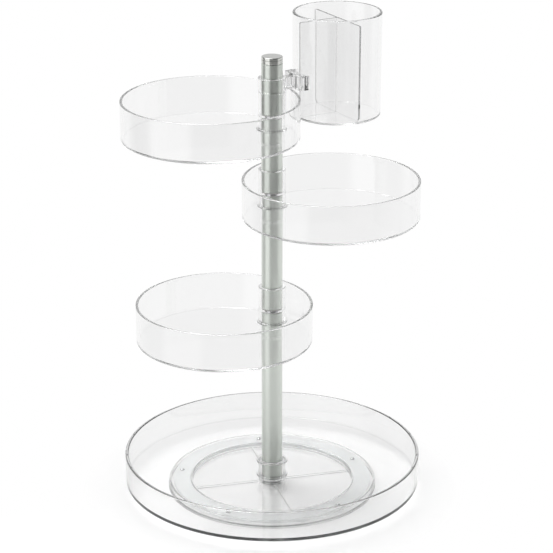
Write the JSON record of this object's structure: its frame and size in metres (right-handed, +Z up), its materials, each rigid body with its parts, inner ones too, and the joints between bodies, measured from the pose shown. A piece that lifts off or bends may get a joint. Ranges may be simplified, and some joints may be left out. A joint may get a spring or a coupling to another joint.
{
  "type": "rotating organizer with swivel trays",
  "caption": "Clear turntable organizer: round swivel trays and a divided brush cup hang off a jointed metal pole over a wide rimmed base tray.",
  "frame": {"origin": "on the pole's axis at the underside of the foot pads, which is the centre of the base tray seen from above", "axes": "+Z up along the pole; the cup hangs to the right-rear (+X +Y), the upper and lower trays to the left-front, the middle tray to the right-front"},
  "size_m": [0.2936, 0.2936, 0.4787],
  "materials": {
    "clear_acrylic": "clear gloss acrylic, polished walls and rims",
    "frosted_plastic": "fine frosted, translucent",
    "satin_aluminium": "satin anodised, faint lengthwise grain",
    "cap_aluminium": "turned and polished",
    "steel": "bright zinc plate",
    "white_nylon": "natural nylon",
    "grey_plastic": "moulded, matt",
    "pad_rubber": "translucent pale rubber"
  },
  "bodies": {
    "foot": {"foot_plate": "clear_acrylic", "foot_pads": "pad_rubber", "pivot_bush": "white_nylon"},
    "ball_ring": {"ball_retainer": "frosted_plastic", "bearing_balls": "steel"},
    "turntable": {"base_tray": "clear_acrylic", "pole_socket": "clear_acrylic", "pivot_bolt": "steel", "pivot_washer": "steel", "pole_section_1": "satin_aluminium", "pole_section_2": "satin_aluminium", "pole_section_3": "satin_aluminium", "pole_section_4": "satin_aluminium", "tube_plugs_1": "grey_plastic", "tube_plugs_2": "grey_plastic", "tube_plugs_3": "grey_plastic", "tube_plugs_4": "grey_plastic", "joint_stud_lower": "steel", "joint_stud_middle": "steel", "joint_stud_upper": "steel", "slip_washers_lower": "white_nylon", "slip_washers_middle": "white_nylon", "slip_washers_upper": "white_nylon", "pole_cap": "cap_aluminium"},
    "lower_tray": {"tray_lower": "clear_acrylic"},
    "middle_tray": {"tray_middle": "clear_acrylic"},
    "upper_tray": {"tray_upper": "clear_acrylic"},
    "cup_arm": {"cup_arm": "clear_acrylic"},
    "cup": {"brush_cup": "clear_acrylic", "cup_divider": "clear_acrylic"}
  },
  "joints": [
    {"name": "turntable_spin", "type": "hinge", "parent": "foot", "child": "turntable", "pos_m": [0, 0, 0.0085], "axis": [0, 0, 1], "continuous": true},
    {"name": "ball_ring_roll", "type": "hinge", "parent": "foot", "child": "ball_ring", "pos_m": [0, 0, 0.0054], "axis": [0, 0, 1], "continuous": true},
    {"name": "lower_tray_swing", "type": "hinge", "parent": "turntable", "child": "lower_tray", "pos_m": [0, 0, 0.1895], "axis": [0, 0, 1], "continuous": true},
    {"name": "middle_tray_swing", "type": "hinge", "parent": "turntable", "child": "middle_tray", "pos_m": [0, 0, 0.3095], "axis": [0, 0, 1], "continuous": true},
    {"name": "upper_tray_swing", "type": "hinge", "parent": "turntable", "child": "upper_tray", "pos_m": [0, 0, 0.3866], "axis": [0, 0, 1], "continuous": true},
    {"name": "cup_arm_swing", "type": "hinge", "parent": "upper_tray", "child": "cup_arm", "pos_m": [0, 0, 0.4167], "axis": [0, 0, 1], "range_deg": [-43, 28]},
    {"name": "cup_lift_off", "type": "slide", "parent": "cup_arm", "child": "cup", "axis": [0, 0, 1], "range_m": [0, 0.018]}
  ],
  "couplings": [
    {"joint": "ball_ring_roll", "follows": "turntable_spin", "ratio": 0.5}
  ]
}
